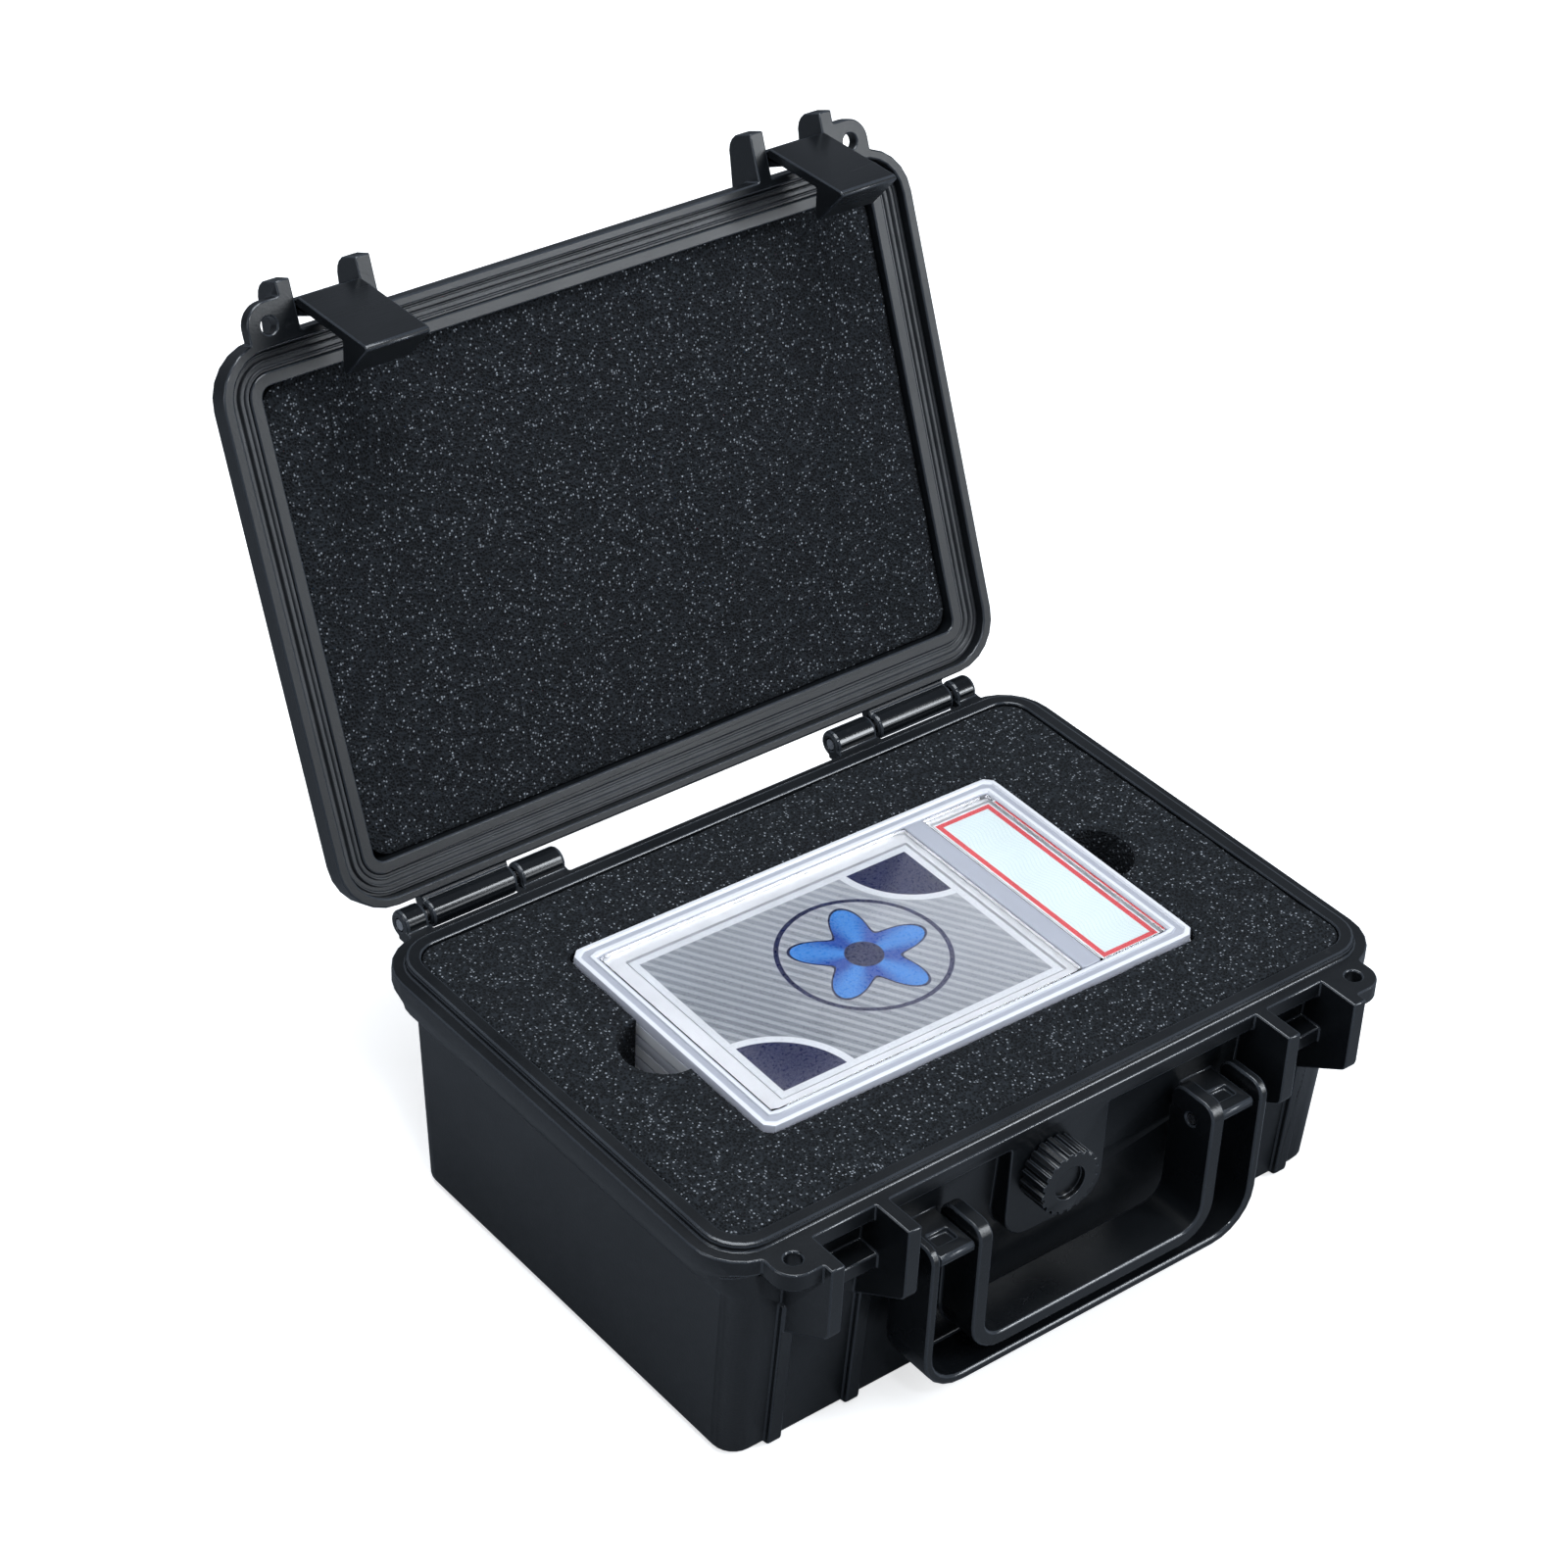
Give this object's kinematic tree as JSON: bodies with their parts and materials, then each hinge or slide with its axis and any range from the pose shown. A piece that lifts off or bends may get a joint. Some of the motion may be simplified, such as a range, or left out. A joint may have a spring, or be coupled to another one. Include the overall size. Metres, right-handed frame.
{
  "type": "graded card storage case",
  "caption": "Latched hard plastic case, open, with a sealed lid, carrying handle, pressure valve and a foam pocket that holds a stack of clear graded card slabs",
  "frame": {"origin": "centre of the base's flat bottom face", "axes": "-Z out of the bottom, -Y to the front with the latches and handle, +Y to the hinges, +X to the right seen from the front"},
  "size_m": [0.214, 0.2352, 0.2229],
  "materials": {
    "black_plastic": "satin, fine grain",
    "latch_plastic": "satin",
    "handle_plastic": "satin",
    "knob_plastic": "satin",
    "charcoal_foam": "open-cell foam, matt",
    "gasket_rubber": "matt",
    "seal_rubber": "satin",
    "pin_steel": "bright",
    "bush_brass": "machined",
    "slab_clear": "clear, gloss",
    "card_print": "printed, coated",
    "label_print": "printed, semi-gloss"
  },
  "bodies": {
    "base": {"base_shell": "black_plastic", "base_foam": "charcoal_foam", "base_foam_pad": "charcoal_foam", "hinge_pin_left": "pin_steel", "hinge_pin_right": "pin_steel", "handle_pin_left": "pin_steel", "handle_pin_right": "pin_steel", "valve_bush": "bush_brass", "slab_1_back": "slab_clear", "slab_1_front": "slab_clear", "slab_1_card": "card_print", "slab_1_label": "label_print", "slab_2_back": "slab_clear", "slab_2_front": "slab_clear", "slab_2_card": "card_print", "slab_2_label": "label_print", "slab_3_back": "slab_clear", "slab_3_front": "slab_clear", "slab_3_card": "card_print", "slab_3_label": "label_print", "slab_4_back": "slab_clear", "slab_4_front": "slab_clear", "slab_4_card": "card_print", "slab_4_label": "label_print", "slab_5_back": "slab_clear", "slab_5_front": "slab_clear", "slab_5_card": "card_print", "slab_5_label": "label_print"},
    "lid": {"lid_shell": "black_plastic", "lid_gasket": "gasket_rubber", "lid_foam": "charcoal_foam"},
    "latch_pin_left": {"latch_pin_left": "pin_steel"},
    "latch_pin_right": {"latch_pin_right": "pin_steel"},
    "latch_left": {"latch_left": "latch_plastic"},
    "latch_right": {"latch_right": "latch_plastic"},
    "handle": {"handle": "handle_plastic"},
    "valve": {"valve_knob": "knob_plastic", "valve_seal": "seal_rubber"},
    "top_slab": {"slab_6_back": "slab_clear", "slab_6_front": "slab_clear", "slab_6_card": "card_print", "slab_6_label": "label_print"}
  },
  "joints": [
    {"name": "lid_hinge", "type": "hinge", "parent": "base", "child": "lid", "pos_m": [0, 0.0782, 0.0708], "axis": [1, 0, 0], "range_deg": [0, 112.2]},
    {"name": "latch_left_swing", "type": "hinge", "parent": "lid", "child": "latch_pin_left", "pos_m": [-0.07235, 0.1404, 0.21423], "axis": [-1, 0, 0], "range_deg": [0, 33.3]},
    {"name": "latch_left_turn", "type": "hinge", "parent": "latch_pin_left", "child": "latch_left", "pos_m": [-0.07235, 0.1404, 0.21423], "axis": [-1, 0, 0], "range_deg": [-15, 100]},
    {"name": "latch_right_swing", "type": "hinge", "parent": "lid", "child": "latch_pin_right", "pos_m": [0.07235, 0.1404, 0.21423], "axis": [-1, 0, 0], "range_deg": [0, 33.3]},
    {"name": "latch_right_turn", "type": "hinge", "parent": "latch_pin_right", "child": "latch_right", "pos_m": [0.07235, 0.1404, 0.21423], "axis": [-1, 0, 0], "range_deg": [-15, 100]},
    {"name": "handle_hinge", "type": "hinge", "parent": "base", "child": "handle", "pos_m": [0, -0.0775, 0.0507], "axis": [-1, 0, 0], "range_deg": [0, 95]},
    {"name": "valve_turn", "type": "hinge", "parent": "base", "child": "valve", "pos_m": [-0.0085, -0.0775, 0.0553], "axis": [0, -1, 0], "range_deg": [0, 360]},
    {"name": "top_slab_lift", "type": "slide", "parent": "base", "child": "top_slab", "axis": [0, 0, -1], "range_m": [-0.06, 0]}
  ],
  "couplings": [
    {"joint": "latch_left_swing", "follows": "lid_hinge", "ratio": 0.29679},
    {"joint": "latch_right_swing", "follows": "lid_hinge", "ratio": 0.29679}
  ]
}
